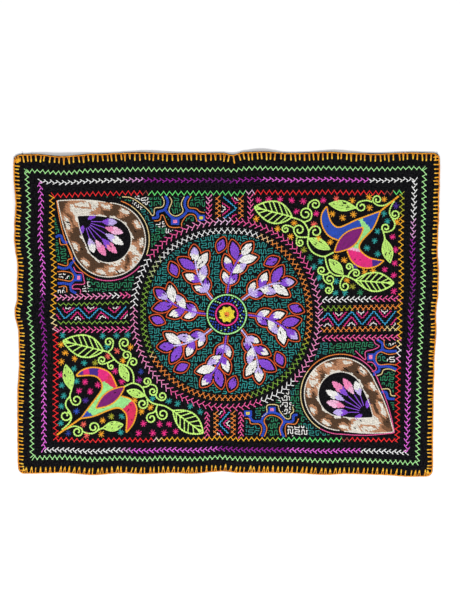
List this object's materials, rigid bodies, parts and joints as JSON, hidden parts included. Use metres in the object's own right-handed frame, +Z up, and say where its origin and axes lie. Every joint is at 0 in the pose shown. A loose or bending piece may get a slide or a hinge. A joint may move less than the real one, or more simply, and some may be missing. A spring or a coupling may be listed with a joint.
{
  "type": "embroidered cloth",
  "caption": "Rectangular embroidered cotton cloth laid flat, with gently wavy sides, rounded corners, soft fold creases and a rim that lifts a little in places.",
  "frame": {"origin": "under the middle of the cloth's bounding box, on the table", "axes": "+X along the long side to the right, +Y to the upper long side, +Z up out of the embroidered face"},
  "size_m": [0.4264, 0.3252, 0.0041],
  "materials": {
    "black_cotton": "matt plain weave with coloured cotton embroidery",
    "cotton_thread": "soft six-strand embroidery cotton with a low sheen, in many colours"
  },
  "bodies": {
    "root": {"cloth": "black_cotton"}
  },
  "joints": []
}
